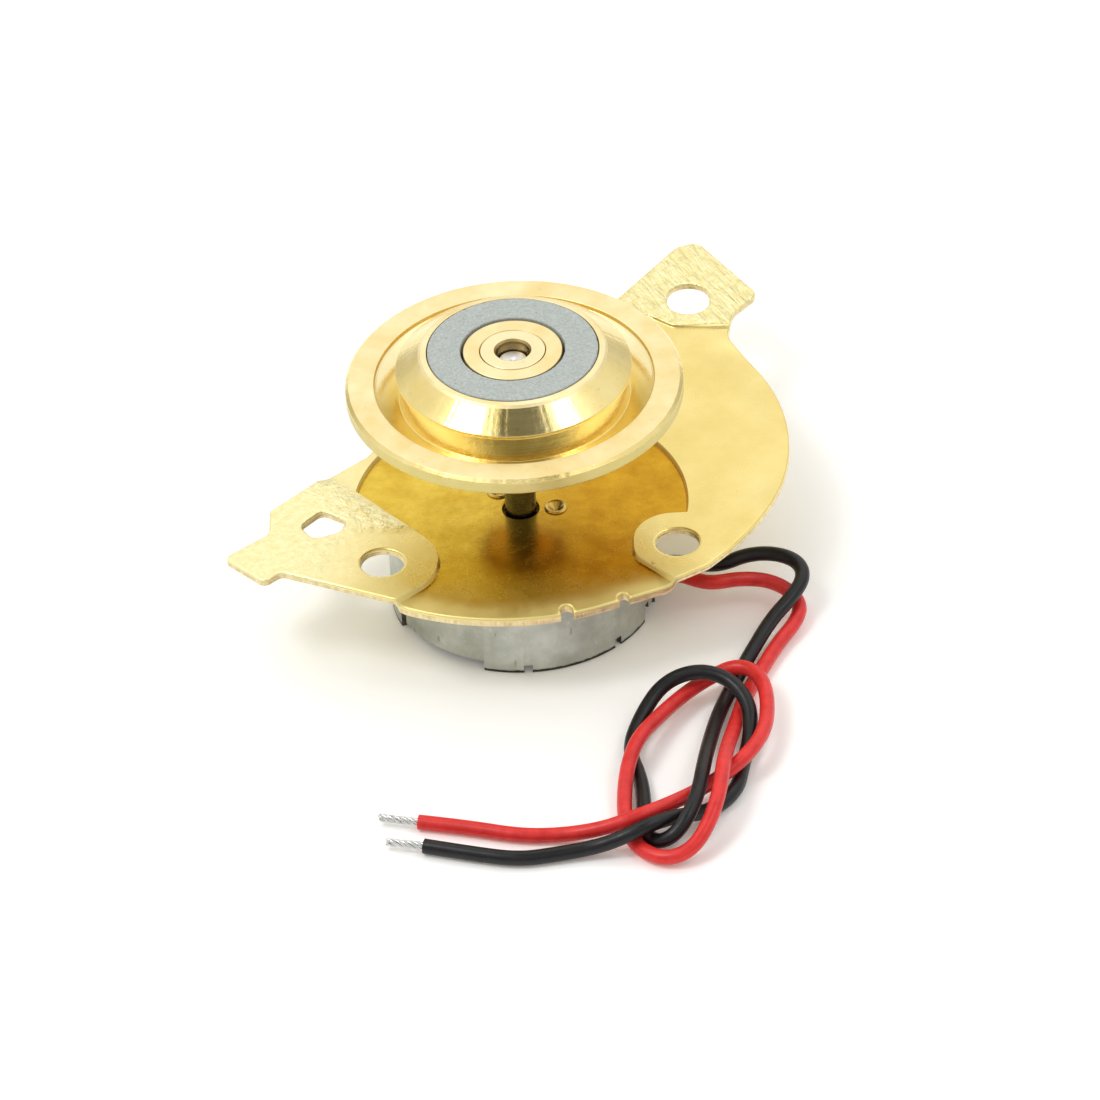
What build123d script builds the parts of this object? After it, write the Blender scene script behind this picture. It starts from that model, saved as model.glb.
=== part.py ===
from build123d import *
import os
from math import cos, sin, pi, radians, tan

# Flat disc spindle motor: a steel can under a stamped plate, with a brass turntable on its shaft.
# Millimetres. The shaft axis is Z, the can stands on Z = 0, and +Y runs towards the long ear.

# ---- driving dimensions ----
SHAFT_R = 1.0
SHAFT_BOTTOM = 0.70
SHAFT_TOP = 18.45

CAN_R = 8.6
CAN_WALL = 0.45
CAN_TOP = 6.05
CAN_IN = CAN_R - CAN_WALL
CAN_CEILING = CAN_TOP - CAN_WALL
CAN_SHOULDER = 0.35
BUSH_COLLAR = 0.2
# Cut-outs round the foot of the skirt: (start angle, end angle, height).
SKIRT_CUTS = (
    (-158, -153, 1.7), (-153, -109, 0.75), (-91.8, -88.2, 0.6), (-49.3, -45.7, 0.7), (-28, -24, 1.3),
    (-24, -19, 0.8), (-19, 5, 3.05), (40, 84, 0.75), (113.2, 116.8, 0.6), (148.2, 151.8, 0.7),
)

SHEET = 0.6
DECK_TOP = 7.0
RECESS_DROP = 0.35
EAR_RISE = 0.15
RECESS_R = 10.67
RECESS_TOP = DECK_TOP - RECESS_DROP
EDGE_ROUND = 0.12
SCREW_HOLE_R = 1.38
HOLE_LEFT = (-8.90, -5.42)
HOLE_RIGHT = (9.83, -4.75)
SLOT_BACK = (11.69, 21.1)
SLOT_LENGTH = 3.36
PLATE_SHAFT_HOLE_R = 1.15
STAKE_RING_R = 2.25
STAKE_ANGLES = (-4, 128)
STAKE_R = 0.5
STAKE_HEAD_R = 0.74

TABLE_R = 10.68
TABLE_TOP = 16.97
TABLE_RIM = 0.99
RING_INNER_R = 8.84
BOSS_R = 7.26
BOSS_FOOT = 15.84
CONE_BASE_R = 7.45
CONE_BASE = 17.96
CONE_TOP_R = 5.68
CONE_TOP = 19.23
HUB_R = 3.06
HUB_TOP = 19.2
SLEEVE_R = 2.05
SLEEVE_BOTTOM = 9.6
HUB_TAIL_R = 2.9
MAGNET_IN_R = 3.3
MAGNET_OUT_R = 5.39
MAGNET_SEAT = 17.4
MAGNET_TOP = 19.28

CAP_BOTTOM = 0.35
CAP_TOP = 1.25
CAP_R = CAN_IN - 0.05
CAP_BOSS_R = 2.8
CAP_BOSS_TOP = 1.80
BUSH_CLEARANCE = 0.02
UPPER_BUSH_R = 1.5
UPPER_BUSH_BOTTOM = 4.78
LOWER_BUSH_R = 2.0
LOWER_BUSH_BOTTOM = 0.75
THRUST_POCKET = 0.33
LUG_FACE = 8.3
LUG_BACK = 7.3
LUG_HALF = 1.5
LUG_Y = -0.95
LUG_TOP = 2.9

CORE_R = 6.2
CORE_BOTTOM = 3.2
CORE_TOP = 4.6
CORE_HUB_R = 1.9
ARM_WIDTH = 1.7
ARM_TIP_R = 5.3
COIL_IN = 2.95
COIL_OUT = 4.9
COIL_BUILD = 0.95
COIL_CROWN = 0.48
POLE_ANGLES = (90, 210, 330)
SHOE_HALF = 52
STATOR_IN_R = 6.6
STATOR_BOTTOM = 2.2
STATOR_TOP = 5.4
STATOR_SPAN = 128

COMM_R = 1.8
COMM_HUB_R = 1.45
COMM_BOTTOM = 1.86
COMM_BAR_TOP = 2.72
BAR_HALF = 56
VARISTOR_R = 2.75
BRUSH_X = COMM_R + 0.03
BRUSH_LEAF = 0.14
BRUSH_HEIGHT = 0.62
BRUSH_BOTTOM = 1.95
BRUSH_REACH = 1.1
STRIP = 0.15
STRIP_HALF = 0.35
POST_Y = (3.6, 4.0)
TAB_X = 7.05
TAB_HALF = 0.4

LEAD_D = 0.95
LEAD_HOLE_R = 0.5
STRAND_R = 0.26
LEAD_SPREAD = 0.65
LEAD_EXIT_X = 7.5
LEAD_EXIT_Z = 1.9
SOLDER_R = 0.45

# Routes of the two leads, motor end first: they lie on Z = 0 and share one loose overhand knot.
BLACK_ROUTE = [
    (7.5, -0.3, 1.9), (9.9, -0.3, 1.9), (11.3, -1.0, 2.1), (12.7, -1.5, 2.4), (14.4, -0.8, 2.6),
    (16.2, -0.9, 2.65), (17.6, -1.8, 2.6), (17.9, -3.2, 2.4), (17.0, -4.7, 2.0), (15.6, -6.2, 1.5),
    (14.2, -8.6, 0.85), (12.9, -11.3, 0.5), (11.8, -14.4, 0.65), (11.1, -17.8, 1.3),
    (10.6, -21.2, 2.3), (10.2, -23.8, 2.5), (9.5, -25.7, 2.1), (8.6, -26.7, 1.4), (7.6, -26.7, 0.8),
    (6.9, -25.8, 0.55), (6.7, -24.4, 0.5), (6.8, -22.9, 0.5), (6.7, -20.2, 0.5),
    (6.0, -17.4, 0.55), (6.9, -14.8, 1.1),
    (8.4, -12.7, 2.0), (10.6, -12.2, 2.55), (12.6, -12.9, 2.3), (13.8, -14.8, 1.7),
    (13.7, -17.0, 0.9), (13.1, -19.2, 0.5), (12.6, -21.8, 0.5), (10.8, -23.7, 0.5),
    (8.7, -25.0, 1.4), (7.2, -26.2, 1.95), (5.5, -26.8, 1.5), (3.8, -26.7, 0.7), (1.2, -27.0, 0.5),
    (-1.0, -27.3, 0.5), (-3.5, -26.7, 0.5), (-6.9, -25.6, 0.5),
]
RED_ROUTE = [
    (7.5, -1.6, 1.9), (9.9, -1.6, 1.9), (11.0, -2.5, 2.0), (12.1, -3.0, 2.1), (13.7, -2.4, 1.9),
    (15.5, -2.2, 1.55), (16.9, -3.0, 1.3), (17.6, -4.3, 1.0), (17.2, -5.7, 0.8), (16.0, -7.4, 0.6),
    (14.7, -10.1, 0.5), (13.5, -12.8, 0.5), (12.8, -15.8, 0.85), (12.2, -19.0, 1.9),
    (11.8, -21.8, 2.85), (11.4, -24.4, 2.5), (10.6, -26.4, 1.7), (9.5, -27.8, 1.0), (8.0, -28.1, 0.6),
    (6.6, -27.2, 0.5), (5.7, -25.5, 0.5), (5.5, -23.1, 0.6), (5.8, -20.2, 1.35), (6.6, -17.9, 1.9),
    (8.0, -15.3, 1.4), (9.6, -13.0, 1.15), (11.4, -11.4, 1.2), (13.0, -10.9, 1.65),
    (14.2, -11.6, 1.8), (14.8, -13.1, 1.85), (14.9, -15.2, 1.75), (14.6, -17.5, 1.8),
    (13.6, -19.7, 1.9), (11.9, -21.1, 1.3), (10.0, -22.3, 1.0), (8.2, -24.0, 1.5), (6.4, -25.2, 1.75),
    (4.2, -25.5, 1.1), (1.7, -25.2, 0.5), (-0.9, -25.1, 0.5), (-4.3, -24.0, 0.5), (-7.2, -23.3, 0.5),
]
BLACK_STRIPPED_END = (-9.34, -25.0, 0.5)
RED_STRIPPED_END = (-9.76, -22.65, 0.5)


# ---- helpers ----
def turned(*profile):
    """A solid of revolution about Z from (radius, height) corners."""
    return revolve(make_face(Polyline(*[(r, 0, z) for r, z in profile], close=True)), Axis.Z)


def disc(radius, low, high, bore=0.0):
    ring = Circle(radius)
    if bore:
        ring -= Circle(bore)
    return Pos(0, 0, low) * extrude(ring, amount=high - low)


def block(low, high):
    """An axis-aligned box between two corners."""
    size = [b - a for a, b in zip(low, high)]
    middle = [(a + b) / 2 for a, b in zip(low, high)]
    return Pos(*middle) * Box(*size)


def sector(inner, outer, start, end, low, high):
    """A ring sector between two angles in degrees, less than a half turn."""
    reach = 2.2 * outer
    middle = (start + end) / 2
    rays = [(reach * cos(radians(a)), reach * sin(radians(a))) for a in (start, middle, end)]
    wedge = make_face(Polyline((0, 0), *rays, close=True))
    return Pos(0, 0, low) * extrude((Circle(outer) - Circle(inner)) & wedge, amount=high - low)


def rounded_outline(corners):
    """A closed flat face from (x, y, corner radius) entries."""
    points = [(x, y) for x, y, r in corners]
    return make_face(FilletPolyline(*points, radius=[r for x, y, r in corners], close=True))


# ---- mounting plate ----
def plate_outline():
    """The stamped outline: front rim, right wing, long back ear, back rim and left ear."""
    return rounded_outline([
        (-1.1, -12.5, 15.6),
        (9.7, -8.35, 1.0),
        (11.7, -7.2, 1.5),
        (13.1, -5.7, 1.0),
        (20.44, 4.15, 17.2),
        (14.05, 16.9, 2.2),
        (14.6, 19.3, 1.6),
        (16.35, 21.3, 0.9),
        (12.6, 27.55, 0.9),
        (11.1, 27.0, 1.0),
        (-0.9, 11.0, 2.8),
        (-6.6, 10.9, 7.0),
        (-9.75, 5.75, 0.8),
        (-12.3, 3.6, 0.6),
        (-12.95, 3.5, 0.5),
        (-16.05, 0.5, 0.5),
        (-16.1, -1.85, 0.8),
        (-19.0, -4.15, 0.5),
        (-16.4, -6.85, 0.5),
        (-15.3, -5.9, 0.5),
    ])


def recess_area(outline):
    """The shallow recess: a disc about the shaft, open at the front, between the two hole lobes."""
    bowl = Circle(RECESS_R) + Pos(1.0, -8.0) * Rectangle(19, 10)
    left_lobe = rounded_outline([
        (-14.0, 6.25, 0.0), (-3.78, -5.70, 3.65), (-10.5, -11.3, 0.0), (-22, -11.3, 0.0),
        (-22, 6.25, 0.0),
    ])
    right_lobe = rounded_outline([
        (14.0, -1.65, 0.0), (7.05, -1.70, 2.6), (7.0, -5.75, 1.5), (10.35, -9.46, 0.0),
        (16.0, -9.46, 0.0),
    ])
    return (outline & bowl) - left_lobe - right_lobe


def plate_holes():
    holes = Pos(*HOLE_LEFT) * Circle(SCREW_HOLE_R) + Pos(*HOLE_RIGHT) * Circle(SCREW_HOLE_R)
    straight = SLOT_LENGTH - 2 * SCREW_HOLE_R
    holes += Pos(*SLOT_BACK) * Rot(0, 0, 90) * SlotCenterToCenter(straight, 2 * SCREW_HOLE_R)
    holes += rounded_outline([
        (-14.1, -1.25, 0.5), (-12.70, 0.25, 0.5), (-11.15, -0.85, 0.5), (-11.55, -2.0, 0.7),
        (-13.3, -2.6, 0.6),
    ])
    holes += Circle(PLATE_SHAFT_HOLE_R)
    for angle in STAKE_ANGLES:
        holes += Rot(0, 0, angle) * Pos(STAKE_RING_R, 0) * Circle(STAKE_R)
    return holes


def rim_notches():
    """Two small shear notches in the front rim, each side of the raw tab."""
    notches = Pos(2.62, -10.75) * Rot(0, 0, 8) * SlotCenterToCenter(0.6, 0.8).rotate(Axis.Z, 90)
    notches += Pos(6.32, -9.75) * Rot(0, 0, 22) * SlotCenterToCenter(0.6, 0.7).rotate(Axis.Z, 90)
    return notches


def mounting_plate():
    outline = plate_outline()
    recess = recess_area(outline)
    back_ear = outline & make_face(Polyline(
        (9.2, 19.3), (10.6, 18.05), (13.2, 17.8), (22, 17.8), (22, 32), (2, 32), (2, 19.3),
        close=True))
    deck = outline - recess - back_ear
    cut = plate_holes() + rim_notches()
    levels = ((deck, DECK_TOP), (recess, RECESS_TOP), (back_ear, DECK_TOP + EAR_RISE))
    slabs = [rounded_slab(area - cut, top) for area, top in levels]
    return slabs[0] + slabs[1] + slabs[2]


def rounded_slab(area, top):
    """A sheet of one level, with its upper edges worn round."""
    slab = Pos(0, 0, top - SHEET) * extrude(area, amount=SHEET)
    return fillet(slab.edges().group_by(Axis.Z)[-1], EDGE_ROUND)


def stake_rivets():
    """Two hollow stakes that hold the plate to the can."""
    stake = turned((0, CAN_CEILING), (STAKE_R, CAN_CEILING), (STAKE_R, RECESS_TOP),
                   (STAKE_HEAD_R, RECESS_TOP), (STAKE_HEAD_R, RECESS_TOP + 0.08),
                   (STAKE_HEAD_R - 0.12, RECESS_TOP + 0.17), (STAKE_R - 0.06, RECESS_TOP + 0.10),
                   (STAKE_R - 0.20, RECESS_TOP - 0.35), (0, RECESS_TOP - 0.42))
    return Compound(children=[Rot(0, 0, a) * Pos(STAKE_RING_R, 0, 0) * stake for a in STAKE_ANGLES])


# ---- can and end cap ----
def motor_can():
    """A drawn cup, open below, with the crimped skirt's cut-outs and a pocket for the top bush."""
    collar_r = UPPER_BUSH_R + BUSH_COLLAR
    collar_end = UPPER_BUSH_BOTTOM + 0.1
    shell = turned((CAN_IN, 0), (CAN_R, 0), (CAN_R, CAN_TOP - CAN_SHOULDER),
                   (CAN_R - CAN_SHOULDER / 3, CAN_TOP - CAN_SHOULDER / 3),
                   (CAN_R - CAN_SHOULDER, CAN_TOP), (UPPER_BUSH_R, CAN_TOP),
                   (UPPER_BUSH_R, collar_end), (collar_r, collar_end), (collar_r, CAN_CEILING),
                   (CAN_IN, CAN_CEILING))
    for start, end, height in SKIRT_CUTS:
        shell -= sector(CAN_IN - 1, CAN_R + 1, start, end, -1, height)
    for angle in STAKE_ANGLES:
        shell -= Rot(0, 0, angle) * Pos(STAKE_RING_R, 0, CAN_TOP) * Cylinder(STAKE_R, 2)
    return shell


def end_cap():
    """Moulded cover that closes the can, seats the bottom bush and carries the lead outlet lug."""
    body = disc(CAP_R, CAP_BOTTOM, CAP_TOP) + disc(CAP_BOSS_R, 0, CAP_BOSS_TOP)
    body += block((LUG_BACK, LUG_Y - LUG_HALF, CAP_BOTTOM), (LUG_FACE, LUG_Y + LUG_HALF, LUG_TOP))
    body -= disc(LOWER_BUSH_R, LOWER_BUSH_BOTTOM - THRUST_POCKET, CAP_BOSS_TOP + 1)
    for side in (-1, 1):
        lead_hole = Pos(LUG_BACK, LUG_Y + side * LEAD_SPREAD, LEAD_EXIT_Z) * Rot(0, 90, 0)
        body -= lead_hole * Cylinder(LEAD_HOLE_R, 6)
    return body


def upper_bush():
    return disc(UPPER_BUSH_R, UPPER_BUSH_BOTTOM, CAN_TOP, SHAFT_R + BUSH_CLEARANCE)


def lower_bush():
    return disc(LOWER_BUSH_R, LOWER_BUSH_BOTTOM, CAP_BOSS_TOP - 0.05, SHAFT_R + BUSH_CLEARANCE)


def thrust_plate():
    return disc(LOWER_BUSH_R - 0.1, LOWER_BUSH_BOTTOM - THRUST_POCKET, SHAFT_BOTTOM - 0.02)


def stator_magnet(middle):
    half = STATOR_SPAN / 2
    return sector(STATOR_IN_R, CAN_IN, middle - half, middle + half, STATOR_BOTTOM, STATOR_TOP)


def mirrored_block(side, low, high):
    """A box given for the +Y lead, turned half way round its own X and Y signs for the other."""
    (x0, y0, z0), (x1, y1, z1) = low, high
    (x0, x1), (y0, y1) = sorted((side * x0, side * x1)), sorted((side * y0, side * y1))
    return block((x0, y0, z0), (x1, y1, z1))


def terminal(side):
    """A brass strip on the cap, from the brush post round to the tab at the lead outlet."""
    level, top = CAP_TOP, CAP_TOP + STRIP
    post = BRUSH_X + BRUSH_LEAF
    near, far = POST_Y
    lane = side * far
    tab_y = LUG_Y + side * LEAD_SPREAD
    strip = mirrored_block(side, (post - 0.6, near - 0.3, level), (post + STRIP, far, top))
    strip += mirrored_block(side, (post, near, level), (post + STRIP, far, BRUSH_BOTTOM + BRUSH_HEIGHT))
    strip += block((side * post, lane - STRIP_HALF, level), (TAB_X - STRIP, lane + STRIP_HALF, top))
    low, high = sorted((tab_y, lane + side * STRIP_HALF))
    strip += block((TAB_X - 2 * STRIP_HALF, low, level), (TAB_X - STRIP, high, top))
    strip += block((TAB_X - 2 * STRIP_HALF, tab_y - TAB_HALF, level), (TAB_X, tab_y + TAB_HALF, top))
    strip += block((TAB_X - STRIP, tab_y - TAB_HALF, level),
                   (TAB_X, tab_y + TAB_HALF, LEAD_EXIT_Z + SOLDER_R))
    return strip


def brush(side):
    """A leaf spring whose free end bears on the commutator."""
    return mirrored_block(side, (BRUSH_X, -BRUSH_REACH, BRUSH_BOTTOM),
                          (BRUSH_X + BRUSH_LEAF, POST_Y[1], BRUSH_BOTTOM + BRUSH_HEIGHT))


def solder_joint(side):
    """The bead between a terminal tab and the end of its lead."""
    start = Plane(origin=(TAB_X, LUG_Y + side * LEAD_SPREAD, LEAD_EXIT_Z), z_dir=(1, 0, 0))
    return extrude(start * Circle(SOLDER_R), amount=LEAD_EXIT_X - TAB_X)


# ---- rotor ----
def shaft():
    c = 0.15
    return turned((0, SHAFT_BOTTOM), (SHAFT_R - c, SHAFT_BOTTOM), (SHAFT_R, SHAFT_BOTTOM + c),
                  (SHAFT_R, SHAFT_TOP - c), (SHAFT_R - c, SHAFT_TOP), (0, SHAFT_TOP))


def hub_sleeve():
    """The pressed-in sleeve that joins the turntable to the shaft, countersunk at the top."""
    return turned((SHAFT_R, SLEEVE_BOTTOM), (SLEEVE_R, SLEEVE_BOTTOM), (SLEEVE_R, HUB_TOP - 0.07),
                  (SLEEVE_R - 0.07, HUB_TOP), (SHAFT_R + 0.22, HUB_TOP), (SHAFT_R, HUB_TOP - 0.25))


def turntable():
    """Disc seat, boss and centring cone, turned in one piece."""
    rim_bottom = TABLE_TOP - TABLE_RIM
    return turned(
        (SLEEVE_R, SLEEVE_BOTTOM + 0.3), (HUB_TAIL_R, SLEEVE_BOTTOM + 0.3), (HUB_TAIL_R, 15.05), (8.7, 15.05),
        (9.2, rim_bottom), (TABLE_R - 0.10, rim_bottom), (TABLE_R, rim_bottom + 0.10),
        (TABLE_R, TABLE_TOP - 0.16), (TABLE_R - 0.08, TABLE_TOP - 0.07), (TABLE_R - 0.30, TABLE_TOP),
        (RING_INNER_R + 0.04, TABLE_TOP), (RING_INNER_R, TABLE_TOP - 0.04),
        (RING_INNER_R, TABLE_TOP - 0.30), (BOSS_R + 0.12, BOSS_FOOT + 0.05), (BOSS_R, BOSS_FOOT + 0.12),
        (BOSS_R, CONE_BASE - 0.32), (CONE_BASE_R, CONE_BASE - 0.22), (CONE_BASE_R, CONE_BASE - 0.04),
        (CONE_BASE_R - 0.04, CONE_BASE), (CONE_TOP_R + 0.03, CONE_TOP - 0.02), (CONE_TOP_R, CONE_TOP),
        (MAGNET_OUT_R + 0.06, CONE_TOP), (MAGNET_OUT_R + 0.06, MAGNET_SEAT), (HUB_R, MAGNET_SEAT),
        (HUB_R, HUB_TOP - 0.08), (HUB_R - 0.08, HUB_TOP), (SLEEVE_R + 0.07, HUB_TOP),
        (SLEEVE_R, HUB_TOP - 0.07))


def ring_magnet():
    c = 0.10
    return turned((MAGNET_IN_R, MAGNET_SEAT), (MAGNET_OUT_R, MAGNET_SEAT),
                  (MAGNET_OUT_R, MAGNET_TOP - c), (MAGNET_OUT_R - c, MAGNET_TOP),
                  (MAGNET_IN_R + c, MAGNET_TOP), (MAGNET_IN_R, MAGNET_TOP - c))


def rotor_core():
    """Three-pole laminated core: hub, arms and curved shoes."""
    core = Circle(CORE_HUB_R)
    for angle in POLE_ANGLES:
        arm_start, arm_end = SHAFT_R + 0.1, ARM_TIP_R + 0.2
        arm = Pos((arm_start + arm_end) / 2, 0) * Rectangle(arm_end - arm_start, ARM_WIDTH)
        core += Rot(0, 0, angle) * arm
    core = Pos(0, 0, CORE_BOTTOM) * extrude(core, amount=CORE_TOP - CORE_BOTTOM)
    for angle in POLE_ANGLES:
        core += sector(ARM_TIP_R, CORE_R, angle - SHOE_HALF, angle + SHOE_HALF, CORE_BOTTOM, CORE_TOP)
    return core - disc(SHAFT_R, CORE_BOTTOM - 1, CORE_TOP + 1)


def coil(angle):
    """One winding, wrapped round its arm."""
    middle = (COIL_IN + COIL_OUT) / 2
    depth = COIL_OUT - COIL_IN
    level = (CORE_BOTTOM + CORE_TOP) / 2
    tall = CORE_TOP - CORE_BOTTOM
    wound = Box(depth, ARM_WIDTH + 2 * COIL_BUILD, tall + 2 * COIL_CROWN)
    wound = fillet(wound.edges().filter_by(Axis.X), 0.35)
    wound -= Box(depth + 1, ARM_WIDTH, tall)
    return Rot(0, 0, angle) * Pos(middle, 0, level) * wound


def commutator_hub():
    return disc(COMM_HUB_R, COMM_BOTTOM, CORE_BOTTOM, SHAFT_R)


def commutator_bars():
    bars = [sector(COMM_HUB_R, COMM_R, a - BAR_HALF, a + BAR_HALF, COMM_BOTTOM + 0.05, COMM_BAR_TOP)
            for a in POLE_ANGLES]
    return Compound(children=bars)


def varistor_ring():
    return disc(VARISTOR_R, COMM_BAR_TOP, CORE_BOTTOM - 0.06, COMM_HUB_R)


def upper_washer():
    return disc(1.7, CORE_TOP, UPPER_BUSH_BOTTOM - 0.05, SHAFT_R)


def lower_washer():
    return disc(1.6, CAP_BOSS_TOP - 0.02, COMM_BOTTOM, SHAFT_R)


# ---- leads ----
def tangent_radii(route):
    """For each inner corner, the largest arc that leaves a short straight on both runs."""
    points = [Vector(*p) for p in route]
    radii = []
    for before, here, after in zip(points, points[1:], points[2:]):
        run_in, run_out = here - before, after - here
        turn = radians(run_in.get_angle(run_out))
        radii.append(0.45 * min(run_in.length, run_out.length) / tan(turn / 2))
    return radii


def tube(route, diameter, name):
    """A round lead along its route of straight runs and tangent arcs."""
    radii = tangent_radii(route)
    path = FilletPolyline(*route, radius=radii)
    section = Plane(origin=path @ 0, z_dir=path % 0) * Circle(diameter / 2)
    lead = sweep(section, path=path)
    expected = pi * diameter ** 2 / 4 * path.length
    print(name, "length", round(path.length, 1), "volume ratio", round(lead.volume / expected, 4))
    print(name, "radii", [round(r, 1) for r in radii])
    return lead


def stripped_end(route, tip):
    """The bare tinned strands that stand out of the lead's cut end."""
    start, end = Vector(*route[-1]), Vector(*tip)
    axis = Plane(origin=start, z_dir=end - start)
    return extrude(axis * Circle(STRAND_R), amount=(end - start).length)


PARTS = {
    "mounting_plate": mounting_plate,
    "stake_rivets": stake_rivets,
    "motor_can": motor_can,
    "end_cap": end_cap,
    "upper_bush": upper_bush,
    "lower_bush": lower_bush,
    "thrust_plate": thrust_plate,
    "stator_magnet_front": lambda: stator_magnet(-90),
    "stator_magnet_back": lambda: stator_magnet(90),
    "red_terminal": lambda: terminal(-1),
    "black_terminal": lambda: terminal(1),
    "red_brush": lambda: brush(-1),
    "black_brush": lambda: brush(1),
    "red_solder_joint": lambda: solder_joint(-1),
    "black_solder_joint": lambda: solder_joint(1),
    "shaft": shaft,
    "hub_sleeve": hub_sleeve,
    "turntable": turntable,
    "ring_magnet": ring_magnet,
    "rotor_core": rotor_core,
    "coil_a": lambda: coil(POLE_ANGLES[0]),
    "coil_b": lambda: coil(POLE_ANGLES[1]),
    "coil_c": lambda: coil(POLE_ANGLES[2]),
    "commutator_hub": commutator_hub,
    "commutator_bars": commutator_bars,
    "varistor_ring": varistor_ring,
    "upper_washer": upper_washer,
    "lower_washer": lower_washer,
    "red_lead": lambda: tube(RED_ROUTE, LEAD_D, "red_lead"),
    "black_lead": lambda: tube(BLACK_ROUTE, LEAD_D, "black_lead"),
    "red_strands": lambda: stripped_end(RED_ROUTE, RED_STRIPPED_END),
    "black_strands": lambda: stripped_end(BLACK_ROUTE, BLACK_STRIPPED_END),
}

os.makedirs("parts", exist_ok=True)
for node, make in PARTS.items():
    export_step(make(), f"parts/{node}.step")
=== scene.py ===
from math import atan2, cos, hypot, pi, radians, sin, tan
import bpy
import bmesh
import numpy as np
from mathutils import Matrix, Vector
from mathutils.geometry import delaunay_2d_cdt


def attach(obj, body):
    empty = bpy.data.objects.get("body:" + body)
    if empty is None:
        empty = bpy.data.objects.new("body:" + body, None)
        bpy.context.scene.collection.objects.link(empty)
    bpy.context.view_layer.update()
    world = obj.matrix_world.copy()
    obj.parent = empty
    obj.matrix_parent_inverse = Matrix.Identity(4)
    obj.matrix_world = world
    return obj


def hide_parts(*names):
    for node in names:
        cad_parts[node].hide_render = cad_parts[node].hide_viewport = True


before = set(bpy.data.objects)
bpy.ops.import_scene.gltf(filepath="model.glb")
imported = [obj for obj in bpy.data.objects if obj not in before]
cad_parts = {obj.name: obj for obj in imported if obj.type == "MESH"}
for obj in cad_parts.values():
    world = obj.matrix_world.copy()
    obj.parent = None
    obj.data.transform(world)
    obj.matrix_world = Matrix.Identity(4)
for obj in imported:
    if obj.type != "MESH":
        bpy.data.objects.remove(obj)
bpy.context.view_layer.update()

# Lengths are in millimetres, with the shaft along Z and the table at zero, and MM turns them into metres.
MM = 0.001
FIXED, TURNING = "motor_body", "spindle"


# ------------------------------------------------------------------ node and object helpers
def plug(tree, socket, value):
    """Set a socket from a number or a colour, or link it from an output."""
    if isinstance(value, (int, float)):
        socket.default_value = value
    elif hasattr(value, "__len__"):
        socket.default_value = (*value, 1)
    else:
        tree.links.new(value, socket)


def math_node(tree, operation, *values):
    node = tree.nodes.new("ShaderNodeMath")
    node.operation = operation
    for socket, value in zip(node.inputs, values):
        plug(tree, socket, value)
    return node.outputs[0]


def range_node(tree, source, low, high, to_low=0.0, to_high=1.0, kind="LINEAR"):
    node = tree.nodes.new("ShaderNodeMapRange")
    node.interpolation_type = kind
    tree.links.new(source, node.inputs["Value"])
    for key, value in (("From Min", low), ("From Max", high), ("To Min", to_low), ("To Max", to_high)):
        node.inputs[key].default_value = value
    return node.outputs["Result"]


def add_object(name, data):
    obj = bpy.data.objects.new(name, data)
    bpy.context.scene.collection.objects.link(obj)
    return obj


# ------------------------------------------------------------------ camera, world, lights
ELEVATION, ROLL = radians(38.07), radians(2.8)
DISTANCE, AIM_RIGHT, AIM_UP = 450.0, 1.734, 2.434
PIXELS_PER_MM, IMAGE_WIDTH, SENSOR_WIDTH = 15.5, 1100.0, 36.0
LIGHT_AIM = Vector((0, 0, 0.008))


def make_camera():
    data = bpy.data.cameras.new("camera")
    data.sensor_width = SENSOR_WIDTH
    data.lens = PIXELS_PER_MM * DISTANCE * SENSOR_WIDTH / IMAGE_WIDTH
    data.clip_start, data.clip_end = 0.02, 20.0
    right = Vector((1, 0, 0))
    back = Vector((0, -cos(ELEVATION), sin(ELEVATION)))
    up = back.cross(right)
    x_axis = right * cos(ROLL) - up * sin(ROLL)
    y_axis = right * sin(ROLL) + up * cos(ROLL)
    camera = add_object("camera", data)
    camera.matrix_world = Matrix((x_axis, y_axis, back)).transposed().to_4x4()
    camera.location = (back * DISTANCE + right * AIM_RIGHT + up * AIM_UP) * MM
    bpy.context.scene.camera = camera


def area_light(name, towards, distance, size, power):
    data = bpy.data.lights.new(name, "AREA")
    data.shape = "DISK"
    data.size = size
    data.energy = power
    light = add_object(name, data)
    direction = Vector(towards).normalized()
    light.location = direction * distance + LIGHT_AIM
    light.rotation_mode = "QUATERNION"
    light.rotation_quaternion = (-direction).to_track_quat("-Z", "Y")


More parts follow.
